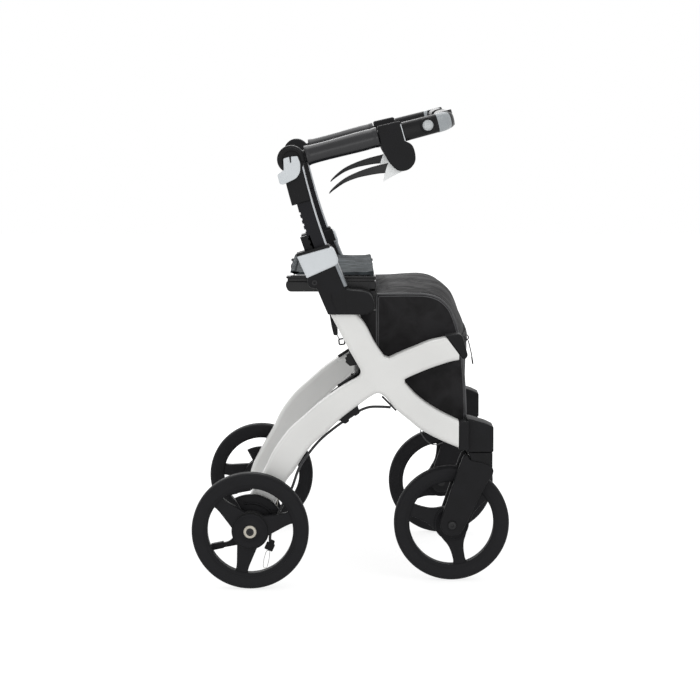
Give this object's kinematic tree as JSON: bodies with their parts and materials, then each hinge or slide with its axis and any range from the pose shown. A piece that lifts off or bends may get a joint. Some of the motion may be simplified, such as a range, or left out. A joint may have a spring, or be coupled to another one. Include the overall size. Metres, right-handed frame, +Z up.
{
  "type": "rollator walker",
  "caption": "Folding rollator walker: white crossed-strut side frames, black seat and bag, handles with brake levers, swivelling front wheels and braked rear wheels.",
  "frame": {"origin": "middle of the footprint's bounding box, on the floor", "axes": "+X the direction of travel, +Y the user's left, +Z up"},
  "size_m": [0.5466, 0.608, 0.8134],
  "materials": {
    "frame_white": "white moulded composite, satin gloss",
    "black_plastic": "black, fine satin grain",
    "gloss_black": "black, semi-gloss",
    "grey_plastic": "light grey, satin",
    "tyre_rubber": "black solid tyre, matt",
    "steel": "warm silver, brushed",
    "dark_steel": "dark plated steel",
    "dark_aluminium": "black anodised",
    "seat_cloth": "dark grey coated cloth",
    "leatherette": "black leatherette, light sheen"
  },
  "bodies": {
    "frame_right": {"side_frame_right": "frame_white", "hub_housing_right": "black_plastic", "hub_collar_right": "grey_plastic", "strut_end_cap_right": "black_plastic", "brace_bracket_right": "black_plastic", "seat_rail_right": "gloss_black", "caster_housing_right": "black_plastic", "drum_brake_right": "black_plastic", "brake_adjuster_right": "black_plastic", "brake_cable_right": "black_plastic", "cable_clip_right": "black_plastic", "rear_axle_right": "steel", "bag": "leatherette", "pull_tab": "black_plastic"},
    "column_right": {"column_right": "dark_aluminium", "column_casing_right": "black_plastic", "handle_bar_right": "black_plastic", "grip_right": "gloss_black", "brake_housing_right": "black_plastic", "reflector_right": "grey_plastic"},
    "trigger_right": {"height_trigger_right": "grey_plastic"},
    "lever_right": {"brake_lever_right": "gloss_black"},
    "crossbar_right": {"crossbar_right": "black_plastic"},
    "fork_right": {"front_fork_right": "black_plastic", "front_axle_right": "dark_steel"},
    "front_wheel_right": {"front_tyre_right": "tyre_rubber", "front_rim_right": "black_plastic"},
    "rear_wheel_right": {"rear_tyre_right": "tyre_rubber", "rear_rim_right": "black_plastic"},
    "frame_left": {"side_frame_left": "frame_white", "hub_housing_left": "black_plastic", "hub_collar_left": "grey_plastic", "strut_end_cap_left": "black_plastic", "brace_bracket_left": "black_plastic", "seat_rail_left": "gloss_black", "caster_housing_left": "black_plastic", "drum_brake_left": "black_plastic", "brake_adjuster_left": "black_plastic", "brake_cable_left": "black_plastic", "cable_clip_left": "black_plastic", "rear_axle_left": "steel"},
    "column_left": {"column_left": "dark_aluminium", "column_casing_left": "black_plastic", "handle_bar_left": "black_plastic", "grip_left": "gloss_black", "brake_housing_left": "black_plastic", "reflector_left": "grey_plastic"},
    "trigger_left": {"height_trigger_left": "grey_plastic"},
    "lever_left": {"brake_lever_left": "gloss_black"},
    "crossbar_left": {"crossbar_left": "black_plastic"},
    "fork_left": {"front_fork_left": "black_plastic", "front_axle_left": "dark_steel"},
    "front_wheel_left": {"front_tyre_left": "tyre_rubber", "front_rim_left": "black_plastic"},
    "rear_wheel_left": {"rear_tyre_left": "tyre_rubber", "rear_rim_left": "black_plastic"},
    "brace_right": {"brace_link_right": "black_plastic"},
    "brace_left": {"brace_link_left": "black_plastic"},
    "seat_half_right": {"seat_right": "seat_cloth"},
    "seat_half_left": {"seat_left": "seat_cloth"}
  },
  "joints": [
    {"name": "fold", "type": "hinge", "parent": "frame_right", "child": "brace_right", "pos_m": [0.0169, -0.2, 0.348], "axis": [1, 0, 0], "range_deg": [0, 72], "deforming": ["bag"]},
    {"name": "brace_knee", "type": "hinge", "parent": "brace_right", "child": "brace_left", "pos_m": [0.0169, 0, 0.348], "axis": [1, 0, 0], "range_deg": [-144, 0]},
    {"name": "brace_end", "type": "hinge", "parent": "brace_left", "child": "frame_left", "pos_m": [0.0169, 0.2, 0.348], "axis": [1, 0, 0], "range_deg": [0, 72]},
    {"name": "seat_fold", "type": "hinge", "parent": "frame_right", "child": "seat_half_right", "pos_m": [-0.03375, -0.2, 0.5293], "axis": [1, 0, 0], "range_deg": [0, 72]},
    {"name": "seat_knee", "type": "hinge", "parent": "seat_half_right", "child": "seat_half_left", "pos_m": [-0.03375, 0, 0.5293], "axis": [1, 0, 0], "range_deg": [-144, 0]},
    {"name": "crossbar_fold_right", "type": "hinge", "parent": "column_right", "child": "crossbar_right", "pos_m": [0.16019, -0.2, 0.79733], "axis": [-0.2521, 0, 0.9677], "range_deg": [0, 72]},
    {"name": "height_right", "type": "hinge", "parent": "frame_right", "child": "column_right", "pos_m": [1.07163, -0.238, 0.98928], "axis": [0, 1, 0], "range_deg": [-2.15, 2.87]},
    {"name": "height_trigger_right", "type": "hinge", "parent": "column_right", "child": "trigger_right", "pos_m": [-0.10206, -0.238, 0.72902], "axis": [0, 1, 0], "range_deg": [0, 14], "stiffness_Nm_per_rad": 0.1, "springref_deg": -11.46},
    {"name": "brake_lever_right", "type": "hinge", "parent": "column_right", "child": "lever_right", "pos_m": [0.08221, -0.238, 0.73568], "axis": [0, 1, 0], "range_deg": [-12, 14], "stiffness_Nm_per_rad": 3},
    {"name": "caster_swivel_right", "type": "hinge", "parent": "frame_right", "child": "fork_right", "pos_m": [0.22225, -0.215, 0.2], "axis": [0, 0, 1], "continuous": true},
    {"name": "front_wheel_spin_right", "type": "hinge", "parent": "fork_right", "child": "front_wheel_right", "pos_m": [0.17325, -0.215, 0.1], "axis": [0, 1, 0], "continuous": true},
    {"name": "rear_wheel_spin_right", "type": "hinge", "parent": "frame_right", "child": "rear_wheel_right", "pos_m": [-0.17325, -0.285, 0.1], "axis": [0, 1, 0], "continuous": true},
    {"name": "crossbar_fold_left", "type": "hinge", "parent": "column_left", "child": "crossbar_left", "pos_m": [0.16019, 0.2, 0.79733], "axis": [-0.2521, 0, 0.9677], "range_deg": [-72, 0]},
    {"name": "height_left", "type": "hinge", "parent": "frame_left", "child": "column_left", "pos_m": [1.07163, 0.238, 0.98928], "axis": [0, 1, 0], "range_deg": [-2.15, 2.87]},
    {"name": "height_trigger_left", "type": "hinge", "parent": "column_left", "child": "trigger_left", "pos_m": [-0.10206, 0.238, 0.72902], "axis": [0, 1, 0], "range_deg": [0, 14], "stiffness_Nm_per_rad": 0.1, "springref_deg": -11.46},
    {"name": "brake_lever_left", "type": "hinge", "parent": "column_left", "child": "lever_left", "pos_m": [0.08221, 0.238, 0.73568], "axis": [0, 1, 0], "range_deg": [-12, 14], "stiffness_Nm_per_rad": 3},
    {"name": "caster_swivel_left", "type": "hinge", "parent": "frame_left", "child": "fork_left", "pos_m": [0.22225, 0.215, 0.2], "axis": [0, 0, 1], "continuous": true},
    {"name": "front_wheel_spin_left", "type": "hinge", "parent": "fork_left", "child": "front_wheel_left", "pos_m": [0.17325, 0.215, 0.1], "axis": [0, 1, 0], "continuous": true},
    {"name": "rear_wheel_spin_left", "type": "hinge", "parent": "frame_left", "child": "rear_wheel_left", "pos_m": [-0.17325, 0.285, 0.1], "axis": [0, 1, 0], "continuous": true}
  ],
  "couplings": [
    {"joint": "brace_knee", "follows": "fold", "ratio": -2},
    {"joint": "brace_end", "follows": "fold", "ratio": 1},
    {"joint": "seat_fold", "follows": "fold", "ratio": 1},
    {"joint": "seat_knee", "follows": "fold", "ratio": -2},
    {"joint": "crossbar_fold_right", "follows": "fold", "ratio": 1},
    {"joint": "crossbar_fold_left", "follows": "fold", "ratio": -1},
    {"joint": "height_left", "follows": "height_right", "ratio": 1}
  ]
}
